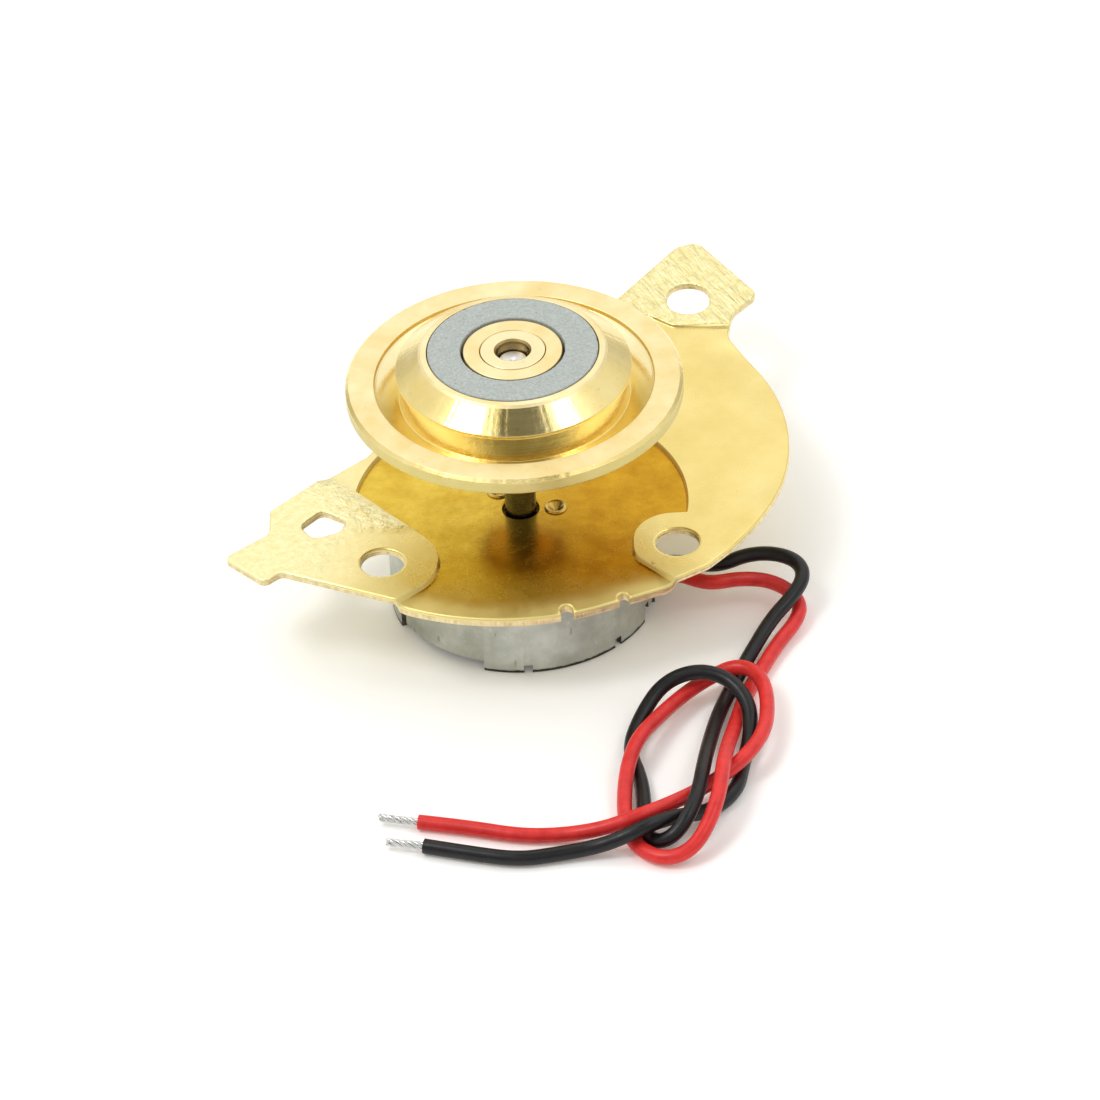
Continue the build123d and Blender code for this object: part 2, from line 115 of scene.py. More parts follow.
def make_world():
    """A white studio, brightest overhead, with a dark gap above the object and a dimmer front.

    Its brightness depends only on the direction in the world, as x to the right, y to the back and z up.
    """
    world = bpy.data.worlds.new("studio")
    bpy.context.scene.world = world
    world.use_nodes = True
    tree = world.node_tree
    tree.nodes.clear()
    out = tree.nodes.new("ShaderNodeOutputWorld")
    shade = tree.nodes.new("ShaderNodeBackground")
    coords = tree.nodes.new("ShaderNodeTexCoord")
    apart = tree.nodes.new("ShaderNodeSeparateXYZ")
    tree.links.new(coords.outputs["Generated"], apart.inputs[0])
    tree.links.new(shade.outputs[0], out.inputs[0])
    x, y, z = apart.outputs

    def step(source, none, full):
        """A mask that is 0 at none and 1 at full."""
        return range_node(tree, source, none, full, kind="SMOOTHSTEP")

    def calc(operation, *values):
        return math_node(tree, operation, *values)

    def dim(level, mask, amount):
        return calc("MULTIPLY", level, calc("SUBTRACT", 1.0, calc("MULTIPLY", mask, amount)))

    aside = calc("ABSOLUTE", calc("SUBTRACT", x, 0.06))
    gap = calc("MULTIPLY", step(aside, 0.36, 0.20), step(y, 0.38, 0.18))
    gap = calc("MULTIPLY", gap, step(y, -0.64, -0.47))
    front = calc("MULTIPLY", step(y, -0.20, -0.62), step(z, 0.86, 0.58))
    sides = step(calc("ABSOLUTE", x), 0.45, 0.80)
    level = dim(1.66, step(z, 0.90, 0.62), 0.32)
    level = dim(level, step(z, 0.48, 0.12), 0.36)
    level = dim(level, gap, 0.88)
    level = dim(level, front, 0.50)
    level = dim(level, sides, 0.14)
    tree.links.new(level, shade.inputs["Strength"])
    shade.inputs["Color"].default_value = (1.0, 1.0, 0.99, 1)


# ------------------------------------------------------------------ materials
class Mat:
    """A Principled material, with its textures in millimetres of the piece's own space."""

    def __init__(self, name, **values):
        self.mat = bpy.data.materials.new(name)
        self.mat.use_nodes = True
        self.tree = self.mat.node_tree
        self.shader = self.tree.nodes["Principled BSDF"]
        self.bump_end = None
        for key, value in values.items():
            self.shader.inputs[key.replace("_", " ")].default_value = value
        coords = self.tree.nodes.new("ShaderNodeTexCoord")
        self.space = self.mapped(coords.outputs["Object"], (1 / MM, 1 / MM, 1 / MM))

    def mapped(self, source, scale, turn=0):
        """Coordinates turned about Z, in degrees, and scaled."""
        node = self.tree.nodes.new("ShaderNodeMapping")
        self.tree.links.new(source, node.inputs["Vector"])
        node.inputs["Scale"].default_value = scale
        node.inputs["Rotation"].default_value = (0, 0, radians(turn))
        return node.outputs["Vector"]

    def noise(self, scale, detail=3.0, rough=0.55, stretch=None, turn=0, source=None, distort=0.0):
        node = self.tree.nodes.new("ShaderNodeTexNoise")
        base = source or self.space
        if stretch:
            base = self.mapped(self.mapped(base, (1, 1, 1), turn), stretch)
        self.tree.links.new(base, node.inputs["Vector"])
        node.inputs["Scale"].default_value = scale
        node.inputs["Detail"].default_value = detail
        node.inputs["Roughness"].default_value = rough
        node.inputs["Distortion"].default_value = distort
        return node.outputs["Fac"]

    def cells(self, scale):
        node = self.tree.nodes.new("ShaderNodeTexVoronoi")
        self.tree.links.new(self.space, node.inputs["Vector"])
        node.inputs["Scale"].default_value = scale
        return node.outputs["Distance"]

    def ramp(self, source, *stops):
        node = self.tree.nodes.new("ShaderNodeValToRGB")
        self.tree.links.new(source, node.inputs["Fac"])
        while len(node.color_ramp.elements) < len(stops):
            node.color_ramp.elements.new(0.5)
        for element, (place, colour) in zip(node.color_ramp.elements, stops):
            element.position = place
            element.color = (*colour, 1)
        return node.outputs["Color"]

    def fade(self, source, low, high, to_low=0.0, to_high=1.0):
        return range_node(self.tree, source, low, high, to_low, to_high)

    def spread(self, noise, to_low=0.0, to_high=1.0):
        """The usual range of a noise, 0.3 to 0.7, spread over a new one."""
        return self.fade(noise, 0.3, 0.7, to_low, to_high)

    def add(self, a, b):
        return math_node(self.tree, "ADD", a, b)

    def times(self, a, b):
        return math_node(self.tree, "MULTIPLY", a, b)

    def mix(self, factor, a, b):
        node = self.tree.nodes.new("ShaderNodeMix")
        node.data_type = "RGBA"
        for socket, value in ((node.inputs["Factor"], factor), (node.inputs[6], a), (node.inputs[7], b)):
            plug(self.tree, socket, value)
        return node.outputs[2]

    def attribute(self, name):
        node = self.tree.nodes.new("ShaderNodeAttribute")
        node.attribute_name = name
        return node.outputs["Fac"]

    def axis(self, name):
        node = self.tree.nodes.new("ShaderNodeSeparateXYZ")
        self.tree.links.new(self.space, node.inputs[0])
        return node.outputs[name]

    def radius(self):
        """Distance from the Z axis."""
        node = self.tree.nodes.new("ShaderNodeVectorMath")
        node.operation = "LENGTH"
        self.tree.links.new(self.mapped(self.space, (1, 1, 0)), node.inputs[0])
        return node.outputs["Value"]

    def rings(self, scale):
        """Fine turning marks: noise that changes only with radius and height."""
        node = self.tree.nodes.new("ShaderNodeCombineXYZ")
        self.tree.links.new(self.radius(), node.inputs["X"])
        self.tree.links.new(self.axis("Z"), node.inputs["Y"])
        return self.noise(scale, 2.0, 0.6, source=node.outputs[0])

    def bump(self, height, strength, depth):
        """A bump on top of those before it, with its depth in millimetres."""
        node = self.tree.nodes.new("ShaderNodeBump")
        self.tree.links.new(height, node.inputs["Height"])
        node.inputs["Strength"].default_value = strength
        node.inputs["Distance"].default_value = depth * MM
        if self.bump_end is not None:
            self.tree.links.new(self.bump_end, node.inputs["Normal"])
        self.bump_end = node.outputs["Normal"]
        self.tree.links.new(self.bump_end, self.shader.inputs["Normal"])

    def set(self, key, source):
        self.tree.links.new(source, self.shader.inputs[key])


def gold_plate():
    """Yellow plated sheet: coined ears, a recess painted darker as painted shade and a painted reflection,
    and a front lip painted paler as a painted highlight, where vertex attributes say.
    """
    m = Mat("gold_plate", Metallic=1.0)
    coin, ridge, fleck, sunk, lip = (
        m.attribute(name) for name in ("coined", "ridged", "flecked", "painted_recess_shade", "painted_lip_highlight"))
    weave = m.noise(2.3, 4.0, 0.65, stretch=(1.0, 0.8, 1.0), turn=30)
    scales = m.noise(1.5, 3.0, 0.6, stretch=(0.95, 1.45, 1.0), turn=52, distort=0.6)
    hatch = m.noise(1.0, 3.0, 0.6, stretch=(3.1, 0.50, 1.0), turn=-24, distort=0.35)

    plain = m.ramp(m.noise(0.22, 3.0, 0.6),
                   (0.30, (0.77, 0.60, 0.20)), (0.52, (0.84, 0.67, 0.25)), (0.72, (0.88, 0.73, 0.31)))
    coined = m.mix(m.spread(weave), (0.83, 0.70, 0.30), (0.97, 0.89, 0.53))
    coined = m.mix(m.times(fleck, m.fade(scales, 0.56, 0.68)), coined, (0.68, 0.55, 0.21))
    coined = m.mix(m.times(ridge, m.fade(hatch, 0.44, 0.34)), coined, (0.78, 0.68, 0.30))
    tone = m.mix(coin, plain, coined)
    # Paler towards the left end: a painted highlight where the light falls from the left.
    pale = m.mix(m.spread(weave), (0.88, 0.77, 0.38), (0.97, 0.89, 0.53))
    tone = m.mix(m.fade(m.axis("X"), -6.5, -12.0, 0.0, 0.7), tone, pale)
    # The recess is painted darker and more orange, and more orange still towards the right: painted shade
    # under the turntable and a painted reflection of its dark underside.
    shaded_recess_left = m.mix(m.spread(m.noise(0.5, 4.0, 0.65)), (0.60, 0.37, 0.030), (0.80, 0.57, 0.080))
    shaded_recess_right = m.mix(m.spread(m.noise(0.6, 4.0, 0.6)), (0.47, 0.225, 0.008), (0.63, 0.345, 0.018))
    tone = m.mix(sunk, tone, m.mix(m.fade(m.axis("X"), -3.5, 4.5), shaded_recess_left, shaded_recess_right))
    # A band along the front edge is painted paler: a painted highlight.
    tone = m.mix(m.times(lip, 0.8), tone, (0.90, 0.78, 0.34))
    specks = m.times(m.fade(m.cells(1.1), 0.09, 0.05), m.fade(m.noise(0.6, 2.0), 0.56, 0.64))
    m.set("Base Color", m.mix(m.times(specks, 0.25), tone, (0.36, 0.25, 0.07)))

    wisps = m.noise(0.7, 4.0, 0.7, stretch=(0.8, 2.4, 1.0), turn=-25, distort=1.2)
    rough = m.add(m.spread(m.noise(0.9, 4.0, 0.6), 0.23, 0.35), m.times(sunk, -0.04))
    rough = m.add(rough, m.times(lip, 0.24))
    rough = m.add(rough, m.times(sunk, m.fade(wisps, 0.55, 0.68, 0.0, 0.09)))
    m.set("Roughness", m.add(rough, m.times(coin, 0.08)))

    press = m.add(m.times(weave, 0.45), m.times(m.times(scales, fleck), 1.15))
    press = m.times(m.add(press, m.times(hatch, ridge)), coin)
    m.bump(m.noise(0.45, 2.0, 0.5), 0.35, 0.05)
    m.bump(m.noise(7.0, 3.0, 0.6), 0.25, 0.012)
    m.bump(press, 0.75, 0.22)
    return m.mat


def sheared_edge():
    m = Mat("sheared_edge", Metallic=1.0)
    streaks = m.noise(3.0, 3.0, 0.6, stretch=(1.0, 1.0, 0.25))
    m.set("Base Color", m.ramp(
        streaks, (0.35, (0.68, 0.53, 0.28)), (0.55, (0.85, 0.72, 0.43)), (0.75, (0.91, 0.80, 0.52))))
    m.set("Roughness", m.spread(streaks, 0.34, 0.5))
    m.bump(streaks, 0.5, 0.03)
    return m.mat


def turned_brass(name, light, dark, rough, marks, grain=0.15, nicks=0.0):
    """Brass off a lathe: turning marks, a drift from dark to light, small stains, and nicks if asked for."""
    m = Mat(name, Metallic=1.0)
    rings = m.rings(14.0)
    drift = m.noise(0.35, 3.0, 0.6)
    stains = m.fade(m.noise(1.9, 5.0, 0.7), 0.60, 0.74)
    tone = m.mix(m.fade(drift, 0.35, 0.7), dark, light)
    m.set("Base Color", m.mix(m.times(stains, 0.34), tone, tuple(0.62 * c for c in dark)))
    shine = m.add(rings, m.times(drift, 0.6))
    m.set("Roughness", m.fade(shine, 0.55, 1.05, rough - 0.05, rough + 0.07))
    m.bump(rings, marks, 0.010)
    m.bump(m.noise(9.0, 2.0, 0.6), grain, 0.006)
    if nicks:
        m.bump(m.noise(2.2, 4.0, 0.7), nicks, 0.05)
    return m.mat


def ferrite():
    m = Mat("ferrite", Metallic=0.0, Specular_IOR_Level=0.45)
    grain = m.noise(7.5, 4.0, 0.7)
    tone = m.ramp(
        grain, (0.32, (0.30, 0.325, 0.305)), (0.5, (0.40, 0.43, 0.405)), (0.68, (0.50, 0.53, 0.50)))
    pits = m.fade(m.noise(3.1, 2.0, 0.5), 0.70, 0.78)
    m.set("Base Color", m.mix(m.times(pits, 0.5), tone, (0.09, 0.10, 0.10)))
    m.set("Roughness", m.spread(grain, 0.42, 0.62))
    m.bump(grain, 0.35, 0.02)
    m.bump(m.noise(0.9, 2.0, 0.5), 0.2, 0.03)
    return m.mat


def zinc_can():
    """Zinc-plated steel: drawing lines, dark spots, light scuffs and a painted contact shadow along the foot.
    """
    m = Mat("zinc_can", Metallic=1.0)
    drawn = m.noise(1.6, 4.0, 0.62, stretch=(1.0, 1.0, 0.16))
    tone = m.ramp(m.noise(0.42, 3.0, 0.6),
                  (0.32, (0.41, 0.42, 0.37)), (0.52, (0.50, 0.515, 0.465)), (0.7, (0.61, 0.625, 0.575)))
    spots = m.fade(m.noise(2.4, 2.0, 0.5, stretch=(1, 1, 0.35)), 0.69, 0.76, 0, 0.5)
    tone = m.mix(spots, tone, (0.20, 0.19, 0.16))
    scuffs = m.fade(m.noise(1.3, 5.0, 0.75, distort=1.5), 0.58, 0.68)
    tone = m.mix(m.times(scuffs, 0.35), tone, (0.80, 0.80, 0.74))
    # Darker towards the bottom, with a ragged top: a painted contact shadow along the foot.
    painted_foot_shadow = m.fade(m.add(m.axis("Z"), m.times(m.noise(1.7, 3.0, 0.6), -0.22)), 0.16, 0.07)
    m.set("Base Color", m.mix(painted_foot_shadow, tone, (0.045, 0.04, 0.032)))
    m.set("Roughness", m.spread(drawn, 0.36, 0.52))
    m.bump(drawn, 0.25, 0.02)
    m.bump(m.noise(6.0, 3.0, 0.6), 0.25, 0.012)
    return m.mat


def ground_steel(name, low, high, rough):
    m = Mat(name, Metallic=1.0)
    lines = m.noise(20.0, 2.0, 0.6, stretch=(0.12, 0.12, 1.0))
    m.set("Base Color", m.ramp(
        m.noise(0.8, 2.0), (0.35, (low, low, 0.97 * low)), (0.65, (high, high, 0.98 * high))))
    m.set("Roughness", m.spread(lines, rough, rough + 0.12))
    m.bump(lines, 0.12, 0.005)
    return m.mat


def pvc(name, low, high, rough):
    m = Mat(name, Metallic=0.0, Specular_IOR_Level=0.38)
    m.set("Base Color", m.mix(m.spread(m.noise(1.1, 3.0, 0.6)), low, high))
    m.set("Roughness", m.spread(m.noise(3.0, 3.0, 0.6), rough - 0.06, rough + 0.08))
    m.bump(m.noise(4.5, 3.0, 0.6), 0.22, 0.02)
    m.bump(m.noise(0.9, 2.0, 0.5), 0.25, 0.05)
    return m.mat


def clouded(name, low, high, rough, scale, bump, metallic=1.0):
    """A plain metal or plastic whose colour, roughness and surface drift a little."""
    m = Mat(name, Metallic=metallic)
    m.set("Base Color", m.mix(m.spread(m.noise(scale, 3.0, 0.6)), low, high))
    m.set("Roughness", m.spread(m.noise(scale * 2.0, 3.0, 0.6), rough - 0.05, rough + 0.08))
    m.bump(m.noise(scale * 4.0, 3.0, 0.6), bump, 0.02)
    return m.mat


# ------------------------------------------------------------------ mesh helpers
FILLET_STEPS, SUPPORT = 5, 0.015


def finished_mesh(bm, name):
    bmesh.ops.recalc_face_normals(bm, faces=bm.faces)
    mesh = bpy.data.meshes.new(name)
    bm.to_mesh(mesh)
    bm.free()
    return mesh


def make_object(name, mesh, body, replaces, materials, angle=32):
    for material in materials:
        mesh.materials.append(material)
    mesh.shade_smooth()
    mesh.set_sharp_from_angle(angle=radians(angle))
    obj = add_object(name, mesh)
    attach(obj, body)
    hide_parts(*replaces)
    return obj


def rounded(profile):
    """A closed profile of (radius, height, fillet, material) corners, rounded, with support points."""
    out = []
    for i, (r, z, fillet, material) in enumerate(profile):
        here = Vector((r, z))
        before = Vector(profile[i - 1][:2]) - here
        after = Vector(profile[(i + 1) % len(profile)][:2]) - here
        if fillet <= 0:
            out.append((r, z, material))
            continue
        a, b = before.normalized(), after.normalized()
        half = a.angle(b) / 2
        run = min(fillet / tan(half), 0.48 * before.length, 0.48 * after.length)
        size = run * tan(half)
        centre = here + (a + b).normalized() * (size / sin(half))
        start, end = here + a * run, here + b * run
        first = atan2(start.y - centre.y, start.x - centre.x)
        last = atan2(end.y - centre.y, end.x - centre.x)
        turn = (last - first + pi) % (2 * pi) - pi
        if before.length - run > 3 * SUPPORT:
            p = start + a * SUPPORT
            out.append((p.x, p.y, profile[i - 1][3]))
        for k in range(FILLET_STEPS + 1):
            t = first + turn * k / FILLET_STEPS
            out.append((centre.x + size * cos(t), centre.y + size * sin(t), material))
        if after.length - run > 3 * SUPPORT:
            p = end + b * SUPPORT
            out.append((p.x, p.y, material))
    return out


def lathe(profile, segments=288, wobble=None):
    """A closed turned part from (radius, height, material) points; a point on the axis is one vertex."""
    bm = bmesh.new()
    columns = []
    poles = {}
    for k in range(segments):
        a = 2 * pi * k / segments
        column = []
        for j, (r, z, _) in enumerate(profile):
            if r < 1e-6:
                if j not in poles:
                    poles[j] = bm.verts.new((0, 0, z * MM))
                column.append(poles[j])
                continue
            if wobble:
                r, z = wobble(r, z, a)
            column.append(bm.verts.new((r * cos(a) * MM, r * sin(a) * MM, z * MM)))
        columns.append(column)
    for k in range(segments):
        one, two = columns[k], columns[(k + 1) % segments]
        for j in range(len(profile)):
            after = (j + 1) % len(profile)
            corners = list(dict.fromkeys((one[j], one[after], two[after], two[j])))
            if len(corners) >= 3:
                bm.faces.new(corners).material_index = profile[j][2]
    return finished_mesh(bm, "lathe")


def loop(corners, step=0.3, turn_step=radians(7)):
    """Closed polyline of a polygon of (x, y, corner radius), with points no more than a step apart."""
    pieces = []
    n = len(corners)
    for i, (x, y, r) in enumerate(corners):
        here = np.array((x, y))
        if r <= 0:
            pieces.append([here])
            continue
        a = np.array(corners[i - 1][:2]) - here
        b = np.array(corners[(i + 1) % n][:2]) - here
        a, b = a / np.linalg.norm(a), b / np.linalg.norm(b)
        half = np.arccos(np.clip(a @ b, -1, 1)) / 2
        centre = here + (a + b) / np.linalg.norm(a + b) * (r / sin(half))
        start, end = here + a * (r / tan(half)), here + b * (r / tan(half))
        first, last = np.arctan2(*(start - centre)[::-1]), np.arctan2(*(end - centre)[::-1])
        turn = (last - first + pi) % (2 * pi) - pi
        k = max(2, int(np.ceil(max(abs(turn) / turn_step, abs(turn) * r / step))))
        angles = [first + turn * t / k for t in range(k + 1)]
        pieces.append([centre + r * np.array((cos(t), sin(t))) for t in angles])
    points = []
    for i, piece in enumerate(pieces):
        points.extend(piece)
        p, q = piece[-1], pieces[(i + 1) % n][0]
        k = int(np.linalg.norm(q - p) // step)
        points.extend(p + (q - p) * t / (k + 1) for t in range(1, k + 1))
    out = [points[0]]
    for p in points[1:]:
        if np.linalg.norm(p - out[-1]) > 1e-4:
            out.append(p)
    return np.array(out)


def circle(x, y, r, k=64):
    t = np.arange(k) * 2 * pi / k
    return np.stack((x + r * np.cos(t), y + r * np.sin(t)), 1)


def capsule(x, y, r, length, angle, k):
    """A slot outline, length from end to end, along a direction in degrees."""
    middle = np.array((x, y))
    reach = np.array((cos(radians(angle)), sin(radians(angle)))) * (length / 2 - r)
    base = radians(angle) - pi / 2
    one = [base + pi * t / k for t in range(k + 1)]
    two = [base + pi + pi * t / k for t in range(k + 1)]
    return np.array([middle + reach + r * np.array((cos(t), sin(t))) for t in one]
                    + [middle - reach + r * np.array((cos(t), sin(t))) for t in two])


def sdf(points, line):
    """Signed distance to a closed polyline, below zero inside."""
    best = np.full(len(points), 1e9)
    inside = np.zeros(len(points), bool)
    for p, q in zip(line, np.roll(line, -1, 0)):
        d = q - p
        w = points - p
        t = np.clip((w @ d) / max(d @ d, 1e-12), 0, 1)
        best = np.minimum(best, np.hypot(*(w - t[:, None] * d).T))
        if p[1] != q[1]:
            crosses = (p[1] > points[:, 1]) != (q[1] > points[:, 1])
            x = p[0] + (points[:, 1] - p[1]) * d[0] / d[1]
            inside ^= crosses & (points[:, 0] < x)
    return np.where(inside, -best, best)


def normals(line):
    """Outward normals of a closed polyline."""
    edge = np.roll(line, -1, 0) - np.roll(line, 1, 0)
    normal = np.stack((edge[:, 1], -edge[:, 0]), 1)
    normal /= np.linalg.norm(normal, axis=1)[:, None]
    area = np.sum(line[:, 0] * np.roll(line[:, 1], -1) - np.roll(line[:, 0], -1) * line[:, 1])
    return normal if area > 0 else -normal


def smooth(x, low, high):
    t = np.clip((x - low) / (high - low), 0, 1)
    return t * t * (3 - 2 * t)


# ------------------------------------------------------------------ plate
DECK_TOP, SHEET, RECESS_DROP, RECESS_STRETCH, EAR_RISE = 7.0, 0.48, 0.35, 0.12, 0.15
FRONT_DROOP, WING_DROOP = 0.18, 0.16
STEP_HALF = 0.07
TOP_ROUND, LOW_ROUND = 0.14, 0.05
RECESS_R, HOLE_R, SHAFT_HOLE_R, STAKE_HOLE_R = 10.67, 1.38, 1.15, 0.5
HOLE_LEFT, HOLE_RIGHT = (-8.90, -5.42), (9.83, -4.75)
SLOT_BACK, SLOT_LENGTH = (11.69, 21.1), 3.36
STAKE_RING_R, STAKE_ANGLES = 2.25, (-4, 128)

OUTLINE = loop([
    (-1.1, -12.5, 15.6), (9.7, -8.35, 1.0), (11.7, -7.2, 1.5), (13.1, -5.7, 1.0), (20.44, 4.15, 17.2),
    (14.05, 16.9, 2.2), (14.6, 19.3, 1.6), (16.35, 21.3, 0.9), (12.6, 27.55, 0.9), (11.1, 27.0, 1.0),
    (-0.9, 11.0, 2.8), (-6.6, 10.9, 7.0), (-9.75, 5.75, 0.8), (-12.3, 3.6, 0.6), (-12.95, 3.5, 0.5),
    (-16.05, 0.5, 0.5), (-16.1, -1.85, 0.8), (-19.0, -4.15, 0.5), (-16.4, -6.85, 0.5), (-15.3, -5.9, 0.5),
])
LEFT_LOBE = [
    (-14.0, 6.25, 0.0), (-3.78, -5.70, 3.65), (-10.5, -11.3, 0.0), (-22, -11.3, 0.0), (-22, 6.25, 0.0),
]
RIGHT_LOBE = [
    (14.0, -1.65, 0.0), (7.05, -1.70, 2.6), (7.0, -5.75, 1.5), (10.35, -9.46, 0.0), (16.0, -9.46, 0.0),
]
EAR_HOLE = [
    (-14.1, -1.25, 0.5), (-12.70, 0.25, 0.5), (-11.15, -0.85, 0.5), (-11.55, -2.0, 0.7), (-13.3, -2.6, 0.6),
]
BACK_EAR = [
    (8.9, 19.6, 0.5), (10.5, 18.15, 1.6), (13.2, 17.8, 3.0), (22, 17.75, 0), (22, 32, 0), (2, 32, 0),
    (2, 19.6, 0),
]
# The coined areas: the left ear beyond a line, apart from the ring round its screw hole, and the back ear.
LEFT_COINING = np.array([
    (-11.9, 3.55), (-8.9, 0.45), (-6.8, -1.9), (-8.0, -2.4), (-9.4, -2.2), (-11.0, -3.0), (-12.0, -4.6),
    (-12.6, -7.6), (-22, -7.6), (-22, 4.5),
])
BACK_COINING = loop([
    (4.6, 17.6, 0), (9.3, 19.0, 0.5), (10.6, 18.05, 0), (22, 17.8, 0), (22, 32, 0), (2, 32, 0),
])
LEFT_EDGE, RIGHT_EDGE, EAR_EDGE = loop(LEFT_LOBE), loop(RIGHT_LOBE), loop(BACK_EAR)
# The front box, which carries the recess past its round part to the front edge.
BOX_X, BOX_Y, BOX_HALF_X, BOX_HALF_Y = 1.0, -8.0, 9.5, 5.0

CUTS = [
    circle(*HOLE_LEFT, HOLE_R), circle(*HOLE_RIGHT, HOLE_R), capsule(*SLOT_BACK, HOLE_R, SLOT_LENGTH, 90, 28),
    loop(EAR_HOLE, 0.2), circle(0, 0, SHAFT_HOLE_R),
    capsule(2.62, -10.75, 0.40, 1.4, 98, 12), capsule(6.32, -9.75, 0.35, 1.3, 112, 12),
]
CUTS += [circle(STAKE_RING_R * cos(a), STAKE_RING_R * sin(a), STAKE_HOLE_R, 40)
         for a in map(radians, STAKE_ANGLES)]

# The edge wall, as (share of the thickness below the top, how far the sheared face stands back).
WALL = ((0.16, 0.0), (0.34, 0.004), (0.42, 0.022), (0.62, 0.030), (0.82, 0.018))


def depth(p):
    """How far inside the sheet a point is."""
    d = sdf(p, OUTLINE)
    for cut in CUTS:
        d = np.maximum(d, -sdf(p, cut))
    return -d


def ear_distance(p):
    return sdf(p, EAR_EDGE)


def recess(p):
    """Signed distance to the edge of the recess, below zero inside."""
    bowl = np.hypot(p[:, 0], p[:, 1]) - RECESS_R
    box = np.maximum(np.abs(p[:, 0] - BOX_X) - BOX_HALF_X, np.abs(p[:, 1] - BOX_Y) - BOX_HALF_Y)
    return np.maximum(np.minimum(bowl, box), np.maximum(-sdf(p, LEFT_EDGE), -sdf(p, RIGHT_EDGE)))


def level(p):
    """Height of the upper face, before its edges are rounded."""
    x, y = p[:, 0], p[:, 1]
    sunk, rim = -recess(p), sdf(p, OUTLINE)
    z = DECK_TOP - RECESS_DROP * smooth(sunk, -STEP_HALF, STEP_HALF)
    z = z + EAR_RISE * smooth(-ear_distance(p), -STEP_HALF, STEP_HALF)
    front = smooth(-y, 6.0, 9.0) * smooth(sunk, -0.1, 0.6)
    wing = smooth(x, 11.5, 13.5) * smooth(y, -2.0, 1.5) * (1 - smooth(y, 14.5, 17.0))
    z = z - FRONT_DROOP * front * smooth(rim, -1.9, 0.2)
    return z - WING_DROOP * wing * smooth(rim, -2.7, -0.1)


def edge_drop(inside, radius):
    """How far a rounded edge of this radius falls away at a depth inside it."""
    return radius - np.sqrt(np.maximum(radius ** 2 - (radius - np.minimum(inside, radius)) ** 2, 0))


def plate_points():
    """Points inside the sheet: rings along its edges, lines along its pressed steps, and a grid between."""
    rings = []
    for index, line in enumerate([OUTLINE] + CUTS):
        inward = (-1 if index == 0 else 1) * normals(line)
        for r in (0.02, 0.045, 0.08, 0.12, 0.2, 0.3, 0.4):
            ring = line + inward * r
            rings.append(ring[depth(ring) > 0.93 * r])
    front_box = [(x, y, 0) for x, y in (
        (BOX_X - BOX_HALF_X, BOX_Y - BOX_HALF_Y), (BOX_X + BOX_HALF_X, BOX_Y - BOX_HALF_Y),
        (BOX_X + BOX_HALF_X, BOX_Y + BOX_HALF_Y), (BOX_X - BOX_HALF_X, BOX_Y + BOX_HALF_Y))]
    steps = (
        (recess, circle(0, 0, RECESS_R, 560)), (recess, loop(front_box, 0.12)),
        (recess, loop(LEFT_LOBE, 0.12, 0.03)), (recess, loop(RIGHT_LOBE, 0.12, 0.04)),
        (ear_distance, loop(BACK_EAR, 0.12, 0.05)))
    for field, line in steps:
        normal = normals(line)
        for r in (-0.11, -0.07, -0.035, 0.0, 0.035, 0.07, 0.11):
            ring = line + normal * r
            rings.append(ring[(np.abs(np.abs(field(ring)) - abs(r)) < 0.004) & (depth(ring) > 0.10)])

    def step_distance(p):
        return np.minimum(np.abs(recess(p)), np.abs(ear_distance(p)))

    pitch, clear = 0.45, 0.17
    grid_x, grid_y = np.meshgrid(np.arange(-19.5, 18.5, pitch), np.arange(-12.5, 28.0, pitch))
    grid_x[1::2] += pitch / 2
    coarse = np.stack((grid_x.ravel(), grid_y.ravel()), 1)
    coarse = coarse[depth(coarse) > 0.52]
    near = step_distance(coarse)
    fine = coarse[near < 0.55] + (0.11, 0.13)
    return rings + [coarse[near > clear], fine[step_distance(fine) > clear]]


def triangulate():
    """The plate's outline as points and triangles, all the same way round."""
    loops = [OUTLINE] + CUTS
    edges, start = [], 0
    for line in loops:
        n = len(line)
        edges += [(start + i, start + (i + 1) % n) for i in range(n)]
        start += n
    points = np.concatenate(loops + plate_points())
    verts, _, faces, _, _, _ = delaunay_2d_cdt([Vector(p) for p in points], edges, [], 0, 1e-5)
    flat = np.array([(v.x, v.y) for v in verts])
    tris = np.array([tuple(f) for f in faces])
    tris = tris[depth(flat[tris].mean(1)) > 0]
    used = np.unique(tris)
    remap = -np.ones(len(flat), int)
    remap[used] = np.arange(len(used))
    flat, tris = flat[used], remap[tris]
    a, b, c = flat[tris[:, 0]], flat[tris[:, 1]], flat[tris[:, 2]]
    turn = (b[:, 0] - a[:, 0]) * (c[:, 1] - a[:, 1]) - (b[:, 1] - a[:, 1]) * (c[:, 0] - a[:, 0])
    tris[turn < 0] = tris[turn < 0][:, ::-1]
    return flat, tris


def border_of(flat, tris):
    """The border edges of the triangles, and each point's outward direction there."""
    directed = dict.fromkeys((t[i], t[(i + 1) % 3]) for t in tris for i in range(3))
    border = [(a, b) for a, b in directed if (b, a) not in directed]
    outward = np.zeros((len(flat), 2))
    for a, b in border:
        e = flat[b] - flat[a]
        e /= max(np.linalg.norm(e), 1e-9)
        for v in (a, b):
            outward[v] += (e[1], -e[0])
    norm = np.linalg.norm(outward, axis=1)
    outward[norm > 0] /= norm[norm > 0][:, None]
    return border, outward


